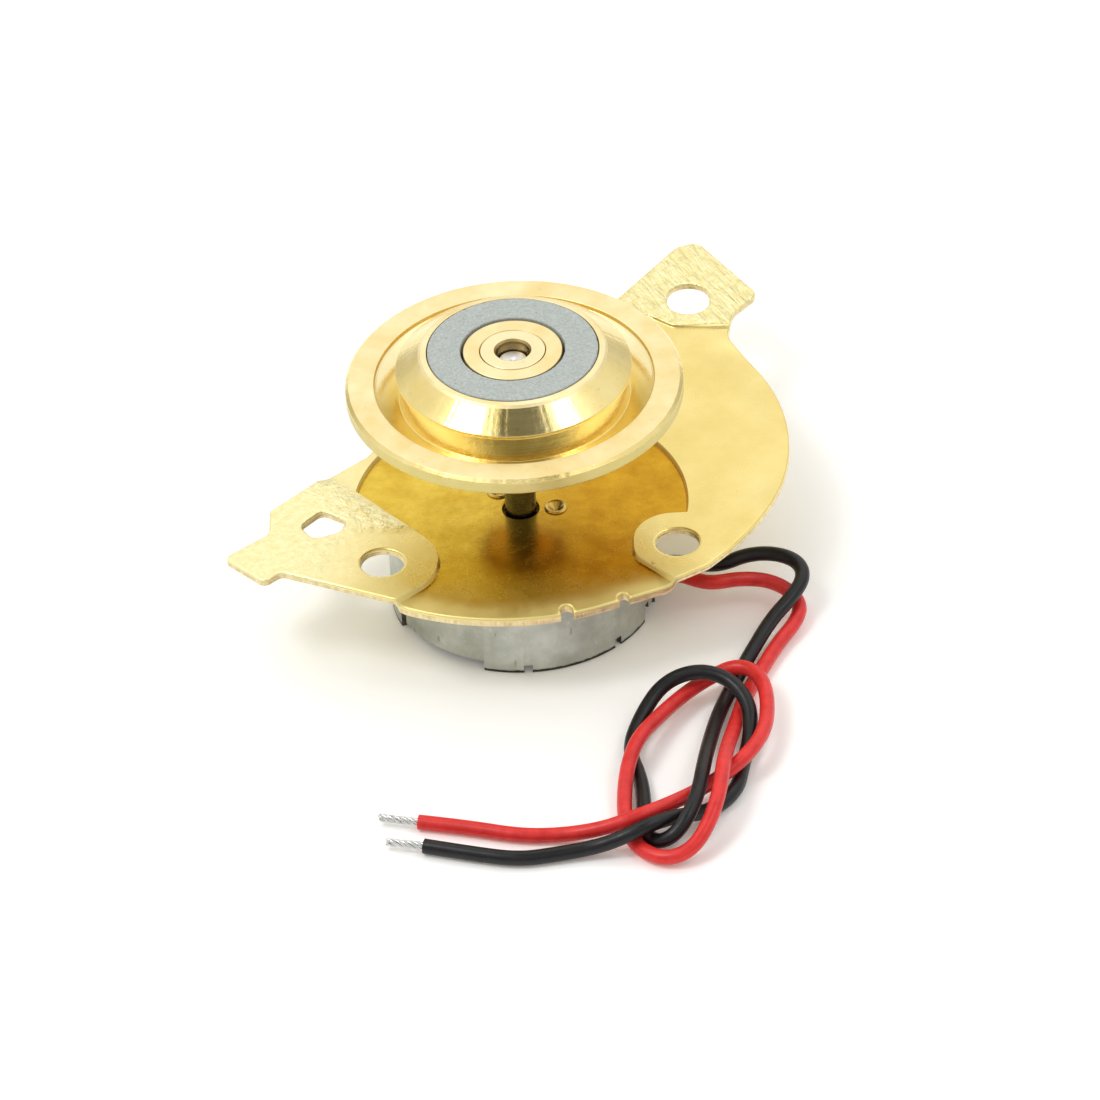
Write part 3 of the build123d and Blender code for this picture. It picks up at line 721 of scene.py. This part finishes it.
def plate_marks(flat, sunk):
    """What gold_plate() reads at each point of the upper face."""
    x, y = flat[:, 0], flat[:, 1]
    rim = sdf(flat, OUTLINE)
    left = smooth(-sdf(flat, LEFT_COINING), -0.5, 0.8)
    back = smooth(-sdf(flat, BACK_COINING), -0.05, 0.3)
    # Distance from the ear's straight side next to the recess, where the press marks are deepest.
    (x0, y0, _), (x1, y1, _) = LEFT_LOBE[:2]
    side = np.abs((x - x0) * (y0 - y1) + (y - y0) * (x1 - x0)) / hypot(y0 - y1, x1 - x0)
    return {
        "coined": np.maximum(left, back),
        # Painted recess shade, faded out near the outline and towards the front.
        "painted_recess_shade": sunk * smooth(-rim, 0.3, 0.9) * (1 - 0.75 * smooth(-y, 6.5, 10.0)),
        "ridged": back,
        "flecked": left * (0.12 + 0.88 * smooth(-side, -4.2, -0.6)),
        # Where the front edge is painted paler, as a painted highlight.
        "painted_lip_highlight": smooth(-y, 6.6, 8.8) * smooth(rim, -2.2, -0.4),
    }


def build_plate():
    flat, tris = triangulate()
    border, outward = border_of(flat, tris)
    inside = np.maximum(depth(flat), 0)
    base = level(flat)
    sunk = smooth(-recess(flat), -0.02, 0.08)
    top = base - edge_drop(inside, TOP_ROUND)
    low = base - SHEET - RECESS_STRETCH * sunk + edge_drop(inside, LOW_ROUND)

    bm = bmesh.new()
    marks = plate_marks(flat, sunk)
    layers = {name: bm.verts.layers.float.new(name) for name in marks}
    tops = [bm.verts.new((x * MM, y * MM, z * MM)) for (x, y), z in zip(flat, top)]
    lows = [bm.verts.new((x * MM, y * MM, z * MM)) for (x, y), z in zip(flat, low)]
    for name, values in marks.items():
        for v, value in zip(tops, values):
            v[layers[name]] = value
    for v, value in zip(lows, marks["coined"]):
        v[layers["coined"]] = 0.35 * value
    for t in tris:
        bm.faces.new([tops[i] for i in t])
        bm.faces.new([lows[i] for i in t[::-1]])

    rng = np.random.default_rng(4)
    walls = {}
    for v in sorted({v for edge in border for v in edge}):
        x, y = flat[v]
        wave = 0.5 + 0.5 * sin(2.1 * x + 1.3 * y) * cos(1.7 * y - 0.6 * x)
        walls[v] = [tops[v]]
        for h, d in WALL:
            h = h + (0.05 * (wave - 0.5) if 0.3 < h < 0.9 else 0)
            z = top[v] + (low[v] - top[v]) * h
            d = d * (0.7 + 0.6 * rng.random())
            place = ((x - outward[v][0] * d) * MM, (y - outward[v][1] * d) * MM, z * MM)
            walls[v].append(bm.verts.new(place))
        walls[v].append(lows[v])
    for a, b in border:
        for i in range(len(WALL) + 1):
            face = bm.faces.new((walls[a][i], walls[a][i + 1], walls[b][i + 1], walls[b][i]))
            face.material_index = 1 if i > 0 else 0
    return finished_mesh(bm, "plate")


# ------------------------------------------------------------------ turned parts
# Each profile corner is (radius, height, fillet, material); the turntable's materials have names.
# BORE_SHADE is the turntable's bore, in brass painted dark as painted shade.
SATIN, POLISHED, TURNED, BORE_SHADE, DISH = range(5)
TABLE_PROFILE = [
    (2.09, 9.90, 0.04, BORE_SHADE), (2.90, 9.90, 0.12, TURNED), (2.90, 15.05, 0.22, TURNED),
    (8.70, 15.05, 0.40, TURNED), (9.20, 15.98, 0.20, TURNED), (10.68, 15.98, 0.10, TURNED),
    (10.68, 16.76, 0.05, POLISHED), (10.46, 16.97, 0.03, SATIN), (8.86, 16.97, 0.06, SATIN),
    (8.84, 16.70, 0.05, DISH), (8.72, 16.62, 0.10, DISH), (7.42, 15.92, 0.12, DISH),
    (7.26, 15.84, 0.07, POLISHED), (7.26, 17.62, 0.06, POLISHED), (7.45, 17.74, 0.03, POLISHED),
    (7.45, 17.96, 0.06, POLISHED), (5.98, 19.06, 0.08, SATIN), (5.82, 19.20, 0.06, SATIN),
    (5.45, 19.23, 0.04, SATIN), (5.45, 17.40, 0.0, SATIN), (3.13, 17.40, 0.0, SATIN),
    (3.13, 19.20, 0.06, SATIN), (2.13, 19.20, 0.03, SATIN), (2.09, 19.14, 0.0, BORE_SHADE),
]
MAGNET_PROFILE = [
    (3.30, 17.40, 0.05, 0), (5.39, 17.40, 0.05, 0), (5.39, 19.28, 0.09, 0), (3.30, 19.28, 0.09, 0),
]
SLEEVE_PROFILE = [
    (1.0, 9.60, 0.0, 0), (2.05, 9.60, 0.06, 0), (2.05, 19.20, 0.04, 0), (1.17, 19.20, 0.04, 1),
    (1.05, 19.06, 0.03, 1), (1.0, 18.80, 0.0, 1),
]
SHAFT_PROFILE = [
    (0.0, 0.70, 0.0, 0), (0.85, 0.70, 0.03, 0), (1.0, 0.85, 0.04, 0), (1.0, 18.30, 0.04, 0),
    (0.86, 18.45, 0.05, 1), (0.22, 18.45, 0.03, 1), (0.0, 18.34, 0.0, 0),
]
STAKE_PROFILE = [
    (0.0, 5.60, 0.0, 0), (0.50, 5.60, 0.0, 0), (0.50, 6.65, 0.03, 0), (0.74, 6.65, 0.02, 0),
    (0.74, 6.72, 0.04, 0), (0.66, 6.80, 0.04, 0), (0.52, 6.76, 0.05, 0), (0.16, 6.36, 0.06, 0),
    (0.0, 6.34, 0.0, 0),
]
CAN_PROFILE = [
    (8.15, 0.0, 0.04, 0), (8.60, 0.0, 0.07, 0), (8.60, 6.05, 0.45, 0), (1.50, 6.05, 0.0, 0),
    (1.50, 4.88, 0.0, 0), (1.70, 4.88, 0.05, 0), (1.70, 5.60, 0.10, 0), (8.15, 5.60, 0.30, 0),
]
# The openings in the can's skirt, as (first angle, last angle, height).
SKIRT_CUTS = (
    (-158, -153, 1.7), (-153, -109, 0.75), (-91.8, -88.2, 0.6), (-49.3, -45.7, 0.7), (-28, -24, 1.3),
    (-24, -19, 0.8), (-19, 5, 3.05), (40, 84, 0.75), (113.2, 116.8, 0.6), (148.2, 151.8, 0.7),
)
CUTTER_INNER_R, CUTTER_OUTER_R, CUTTER_BOTTOM, CUT_SOFTENING = 7.2, 9.6, -1, 0.05


def chipped(r, z, a):
    """Small chips along the ferrite ring's upper edges."""
    if z > 19.1 and (r > 5.25 or r < 3.44):
        w = max(0.0, sin(37 * a + 0.6) * sin(23 * a + 1.9) * sin(11 * a) - 0.25) * 0.05
        return (r - w if r > 4 else r + w), z - 0.5 * w
    return r, z


def dinged(r, z, a):
    """Chips and dents along the turntable's bevel and the two edges of its cone."""
    chip = sin(41 * a + 1.0) * sin(67 * a + 0.4) * sin(23 * a + 2.2)
    wave = sin(17 * a + 0.7) * sin(29 * a + 2.9) + 0.6 * sin(53 * a)
    if r > 10.3 and z > 16.6:
        return (r - 0.022 * max(0.0, chip - 0.2) - 0.007 * wave,
                z - 0.030 * max(0.0, chip - 0.15) + 0.008 * wave)
    if 5.75 < r < 6.1 and z > 18.9:
        return r, z - 0.020 * max(0.0, chip - 0.2)
    if r > 7.3 and 17.6 < z < 18.05:
        return r - 0.014 * max(0.0, chip - 0.25), z
    return r, z


def build_stakes():
    """The two staked rivet heads beside the shaft, as one mesh."""
    one = lathe(rounded(STAKE_PROFILE), 48)
    both = bmesh.new()
    for angle in STAKE_ANGLES:
        count = len(both.verts)
        both.from_mesh(one)
        both.verts.ensure_lookup_table()
        shift = Vector((cos(radians(angle)), sin(radians(angle)), 0)) * STAKE_RING_R * MM
        bmesh.ops.translate(both, verts=both.verts[count:], vec=shift)
    mesh = finished_mesh(both, "stakes")
    # The stake heads take half the painted recess shade of the plate's gold.
    sunk = mesh.attributes.new("painted_recess_shade", "FLOAT", "POINT")
    sunk.data.foreach_set("value", [0.5] * len(mesh.vertices))
    return mesh


def skirt_cutter():
    """A block for each opening in the can's skirt."""
    bm = bmesh.new()
    for start, end, height in SKIRT_CUTS:
        steps = max(2, int((end - start) / 3))
        angles = [radians(start + (end - start) * k / steps) for k in range(steps + 1)]
        corners = [(CUTTER_INNER_R * cos(a), CUTTER_INNER_R * sin(a)) for a in angles]
        corners += [(CUTTER_OUTER_R * cos(a), CUTTER_OUTER_R * sin(a)) for a in reversed(angles)]
        low = [bm.verts.new((x * MM, y * MM, CUTTER_BOTTOM * MM)) for x, y in corners]
        high = [bm.verts.new((x * MM, y * MM, height * MM)) for x, y in corners]
        bm.faces.new(low)
        bm.faces.new(high[::-1])
        for i in range(len(corners)):
            j = (i + 1) % len(corners)
            bm.faces.new((low[i], low[j], high[j], high[i]))
    return finished_mesh(bm, "cutter")


def build_can():
    shell = add_object("can_shell", lathe(rounded(CAN_PROFILE), 320))
    cutter = add_object("cutter", skirt_cutter())
    cut = shell.modifiers.new("cut", "BOOLEAN")
    cut.operation, cut.solver, cut.object = "DIFFERENCE", "EXACT", cutter
    cut.use_self = True
    soften = shell.modifiers.new("soften", "BEVEL")
    soften.width, soften.segments, soften.angle_limit = CUT_SOFTENING * MM, 2, radians(50)
    soften.limit_method = "ANGLE"
    graph = bpy.context.evaluated_depsgraph_get()
    mesh = bpy.data.meshes.new_from_object(shell.evaluated_get(graph))
    bpy.data.objects.remove(cutter)
    bpy.data.objects.remove(shell)

    # The cut and the bevel leave a few faces with no area, which are merged away.
    clean = bmesh.new()
    clean.from_mesh(mesh)
    bmesh.ops.remove_doubles(clean, verts=clean.verts, dist=1e-6)
    bmesh.ops.dissolve_degenerate(clean, edges=clean.edges, dist=1e-6)
    clean.to_mesh(mesh)
    clean.free()

    # The second material is dark: on the cut walls it is bare cut steel with painted shade, inside the skirt
    # it is painted shade, and on the foot a painted contact shadow.
    for face in mesh.polygons:
        centre, normal = face.center / MM, face.normal
        reach = hypot(centre.x, centre.y)
        outward = (normal.x * centre.x + normal.y * centre.y) / reach
        cut_wall = centre.z < 3.2 and 8.1 < reach < 8.65 and abs(outward) < 0.75
        inner_wall = outward < -0.5 and reach < 8.3 and centre.z < 5.0
        face.material_index = 1 if cut_wall or inner_wall or centre.z < 0.10 else 0
    return mesh


# ------------------------------------------------------------------ leads
BLACK_ROUTE = [
    (7.5, -0.3, 1.9), (9.9, -0.3, 1.9), (11.3, -1.0, 2.1), (12.7, -1.5, 2.4), (14.4, -0.8, 2.6),
    (16.2, -0.9, 2.65), (17.6, -1.8, 2.6), (17.9, -3.2, 2.4), (17.0, -4.7, 2.0), (15.6, -6.2, 1.5),
    (14.2, -8.6, 0.85), (12.9, -11.3, 0.5), (11.8, -14.4, 0.65), (11.1, -17.8, 1.3),
    (10.6, -21.2, 2.3), (10.2, -23.8, 2.5), (9.5, -25.7, 2.1), (8.6, -26.7, 1.4), (7.6, -26.7, 0.8),
    (6.9, -25.8, 0.55), (6.7, -24.4, 0.5), (6.8, -22.9, 0.5), (6.7, -20.2, 0.5),
    (6.0, -17.4, 0.55), (6.9, -14.8, 1.1),
    (8.4, -12.7, 2.0), (10.6, -12.2, 2.55), (12.6, -12.9, 2.3), (13.8, -14.8, 1.7),
    (13.7, -17.0, 0.9), (13.1, -19.2, 0.5), (12.6, -21.8, 0.5), (10.8, -23.7, 0.5),
    (8.7, -25.0, 1.4), (7.2, -26.2, 1.95), (5.5, -26.8, 1.5), (3.8, -26.7, 0.7), (1.2, -27.0, 0.5),
    (-1.0, -27.3, 0.5), (-3.5, -26.7, 0.5), (-6.9, -25.6, 0.5),
]
RED_ROUTE = [
    (7.5, -1.6, 1.9), (9.9, -1.6, 1.9), (11.0, -2.5, 2.0), (12.1, -3.0, 2.1), (13.7, -2.4, 1.9),
    (15.5, -2.2, 1.55), (16.9, -3.0, 1.3), (17.6, -4.3, 1.0), (17.2, -5.7, 0.8), (16.0, -7.4, 0.6),
    (14.7, -10.1, 0.5), (13.5, -12.8, 0.5), (12.8, -15.8, 0.85), (12.2, -19.0, 1.9),
    (11.8, -21.8, 2.85), (11.4, -24.4, 2.5), (10.6, -26.4, 1.7), (9.5, -27.8, 1.0), (8.0, -28.1, 0.6),
    (6.6, -27.2, 0.5), (5.7, -25.5, 0.5), (5.5, -23.1, 0.6), (5.8, -20.2, 1.35), (6.6, -17.9, 1.9),
    (8.0, -15.3, 1.4), (9.6, -13.0, 1.15), (11.4, -11.4, 1.2), (13.0, -10.9, 1.65),
    (14.2, -11.6, 1.8), (14.8, -13.1, 1.85), (14.9, -15.2, 1.75), (14.6, -17.5, 1.8),
    (13.6, -19.7, 1.9), (11.9, -21.1, 1.3), (10.0, -22.3, 1.0), (8.2, -24.0, 1.5), (6.4, -25.2, 1.75),
    (4.2, -25.5, 1.1), (1.7, -25.2, 0.5), (-0.9, -25.1, 0.5), (-4.3, -24.0, 0.5), (-7.2, -23.3, 0.5),
]
BLACK_TIP, RED_TIP = (-9.34, -25.0, 0.5), (-9.76, -22.65, 0.5)
LEAD_D = 0.95
STRANDS, STRAND_R, STRAND_TWISTS, STRAND_SIDES, STRAND_RINGS = 7, 0.088, 1.15, 10, 34
LAY_R, HIDDEN_LENGTH = 0.165, 0.35


def lead(name, route, material, node):
    curve = bpy.data.curves.new(name, "CURVE")
    curve.dimensions = "3D"
    spline = curve.splines.new("NURBS")
    spline.points.add(len(route) - 1)
    for point, (x, y, z) in zip(spline.points, route):
        point.co = (x * MM, y * MM, z * MM, 1)
    spline.order_u = 3
    spline.use_endpoint_u = True
    spline.resolution_u = 12
    spline.use_smooth = True
    curve.bevel_depth = LEAD_D / 2 * MM
    curve.bevel_resolution = 8
    curve.use_fill_caps = True
    curve.materials.append(material)
    obj = add_object(name, curve)
    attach(obj, FIXED)
    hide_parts(node)
    return obj


def strand_bundle(name, start, end, material, node, seed):
    """A core strand and six twisted round it, which start inside the sleeve and splay at the tip."""
    start, end = Vector(start), Vector(end)
    axis = (end - start).normalized()
    u = axis.orthogonal().normalized()
    v = axis.cross(u)
    length = (end - start).length + HIDDEN_LENGTH
    rng = np.random.default_rng(seed)
    bm = bmesh.new()
    for strand in range(STRANDS):
        lay = LAY_R if strand else 0.0
        phase = 2 * pi * strand / (STRANDS - 1)
        reach = length - 0.22 * rng.random()
        drift = rng.normal(0, 0.035, 2)
        previous = None
        for k in range(STRAND_RINGS + 1):
            t = k / STRAND_RINGS
            turn = phase + 2 * pi * STRAND_TWISTS * t
            spread = lay * (1 + 0.10 * t * t)
            centre = start - axis * HIDDEN_LENGTH + axis * (reach * t)
            centre = centre + u * (spread * cos(turn) + drift[0] * t * t)
            centre = centre + v * (spread * sin(turn) + drift[1] * t * t)
            size = STRAND_R * (1 if k < STRAND_RINGS else 0.55)
            angles = [2 * pi * i / STRAND_SIDES for i in range(STRAND_SIDES)]
            ring = [bm.verts.new((centre + u * (size * cos(a)) + v * (size * sin(a))) * MM) for a in angles]
            if previous:
                for i in range(STRAND_SIDES):
                    j = (i + 1) % STRAND_SIDES
                    bm.faces.new((previous[i], previous[j], ring[j], ring[i]))
            else:
                bm.faces.new(ring[::-1])
            previous = ring
        bm.faces.new(previous)
    return make_object(name, finished_mesh(bm, name), FIXED, [node], [material], 40)


# ------------------------------------------------------------------ floor and carried-over nodes
def make_floor():
    bm = bmesh.new()
    bmesh.ops.create_grid(bm, x_segments=1, y_segments=1, size=3.0)
    mesh = bpy.data.meshes.new("floor")
    bm.to_mesh(mesh)
    bm.free()
    floor = add_object("floor", mesh)
    floor.location.z = -0.00002
    # The floor glows faintly in warm white: painted light that lifts its shadows and tints them like light
    # bounced off the gold plate.
    m = Mat("white_table", Metallic=0.0, Emission_Color=(1.0, 0.96, 0.82, 1), Emission_Strength=0.11)
    m.set("Base Color", m.mix(m.noise(0.02, 2.0), (0.955, 0.955, 0.95), (0.975, 0.975, 0.97)))
    m.set("Roughness", m.spread(m.noise(0.4, 3.0), 0.55, 0.65))
    mesh.materials.append(m.mat)


def dress_cad_nodes(other):
    """A material for each CAD node that no piece replaces, and the other one for the magnets."""
    materials = {
        "end_cap": clouded("cap_moulding", (0.018, 0.018, 0.020), (0.035, 0.035, 0.037), 0.5, 1.2, 0.3, 0.0),
        "upper_bush": clouded("sintered_bronze", (0.50, 0.33, 0.14), (0.66, 0.46, 0.22), 0.42, 4.0, 0.4),
        "thrust_plate": clouded("nylon", (0.62, 0.59, 0.50), (0.74, 0.72, 0.64), 0.5, 2.0, 0.15, 0.0),
        "red_terminal": clouded("strip_brass", (0.70, 0.54, 0.26), (0.82, 0.67, 0.37), 0.3, 2.0, 0.2),
        "red_solder_joint": clouded("solder", (0.58, 0.59, 0.60), (0.75, 0.76, 0.77), 0.25, 3.0, 0.3),
        "rotor_core": clouded("laminated_steel", (0.30, 0.30, 0.31), (0.46, 0.46, 0.47), 0.42, 3.0, 0.4),
        "coil_a": clouded("enamelled_wire", (0.45, 0.16, 0.06), (0.66, 0.29, 0.12), 0.3, 6.0, 0.6),
        "commutator_hub": clouded("phenolic", (0.28, 0.14, 0.06), (0.38, 0.20, 0.09), 0.5, 2.0, 0.2, 0.0),
        "commutator_bars": clouded("bar_copper", (0.62, 0.33, 0.20), (0.76, 0.46, 0.30), 0.25, 4.0, 0.2),
        "varistor_ring": clouded("varistor", (0.09, 0.10, 0.12), (0.16, 0.17, 0.19), 0.6, 4.0, 0.3, 0.0),
    }
    shared = {
        "lower_bush": "upper_bush", "upper_washer": "thrust_plate", "lower_washer": "thrust_plate",
        "black_terminal": "red_terminal", "red_brush": "red_terminal", "black_brush": "red_terminal",
        "black_solder_joint": "red_solder_joint", "coil_b": "coil_a", "coil_c": "coil_a",
    }
    for node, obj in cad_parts.items():
        if obj.hide_render:
            continue
        for slot in obj.material_slots:
            slot.link = "OBJECT"
            slot.material = materials.get(shared.get(node, node), other)


# ------------------------------------------------------------------ build
make_camera()
make_world()
area_light("key_left", (-0.50, -0.18, 0.85), 0.55, 0.17, 0.70)
area_light("fill_right", (0.50, -0.17, 0.85), 0.60, 0.12, 0.16)

red_pvc = pvc("red_insulation", (0.62, 0.020, 0.018), (0.80, 0.036, 0.032), 0.34)
black_pvc = pvc("black_insulation", (0.004, 0.004, 0.005), (0.009, 0.009, 0.010), 0.36)
tinned = clouded("tinned_strands", (0.60, 0.60, 0.58), (0.78, 0.78, 0.77), 0.26, 4.0, 0.3)

red = lead("red_lead_sleeve", RED_ROUTE, red_pvc, "red_lead")
black = lead("black_lead_sleeve", BLACK_ROUTE, black_pvc, "black_lead")
red_wire = strand_bundle("red_lead_strands", RED_ROUTE[-1], RED_TIP, tinned, "red_strands", 3)
black_wire = strand_bundle("black_lead_strands", BLACK_ROUTE[-1], BLACK_TIP, tinned, "black_strands", 8)

gold, sheared = gold_plate(), sheared_edge()
satin = turned_brass("brass_satin", (0.95, 0.81, 0.48), (0.84, 0.67, 0.31), 0.42, 0.24, 0.50, 0.22)
polished = turned_brass("brass_polished", (0.92, 0.76, 0.36), (0.85, 0.67, 0.25), 0.13, 0.20, 0.16, 0.22)
dish = turned_brass("brass_dish", (0.96, 0.84, 0.50), (0.90, 0.76, 0.40), 0.17, 0.18, 0.16, 0.12)
turned = turned_brass("brass_turned", (0.66, 0.565, 0.235), (0.58, 0.485, 0.175), 0.33, 0.25, 0.30, 0.10)
# Brass painted dark for the bores of the turntable and sleeve: painted shade inside the holes.
bore_shade_brass = turned_brass("brass_bore_shade", (0.52, 0.39, 0.17), (0.36, 0.26, 0.11), 0.30, 0.25)
sleeve_brass = turned_brass("brass_sleeve", (0.94, 0.82, 0.50), (0.88, 0.74, 0.42), 0.28, 0.25)
magnet, zinc = ferrite(), zinc_can()
steel = ground_steel("ground_steel", 0.80, 0.92, 0.44)
# The shaft's body is painted dark: painted shade and a painted reflection of the dark gold round it.
shaded_shaft_steel = ground_steel("shaded_shaft_steel", 0.10, 0.16, 0.20)
# Dark cut steel and painted shade for the can's cut walls, the inside of its skirt and its foot.
dark_steel = clouded("cut_edge_and_shade", (0.07, 0.065, 0.055), (0.16, 0.15, 0.13), 0.45, 2.0, 0.4)

make_object("plate_sheet", build_plate(), FIXED, ["mounting_plate"], [gold, sheared], 40)
make_object("disc_table", lathe(rounded(TABLE_PROFILE), 384, dinged), TURNING, ["turntable"],
            [satin, polished, turned, bore_shade_brass, dish])
make_object("clamp_ring_magnet", lathe(rounded(MAGNET_PROFILE), wobble=chipped), TURNING,
            ["ring_magnet"], [magnet])
make_object("table_sleeve", lathe(rounded(SLEEVE_PROFILE), 128), TURNING, ["hub_sleeve"],
            [sleeve_brass, bore_shade_brass])
make_object("spindle_shaft", lathe(rounded(SHAFT_PROFILE), 96), TURNING, ["shaft"],
            [shaded_shaft_steel, steel])
make_object("can_cup", build_can(), FIXED, ["motor_can"], [zinc, dark_steel], 35)
make_object("stake_cups", build_stakes(), FIXED, ["stake_rivets"], [gold])
dress_cad_nodes(magnet)
make_floor()

bpy.context.scene.view_settings.view_transform = "Standard"
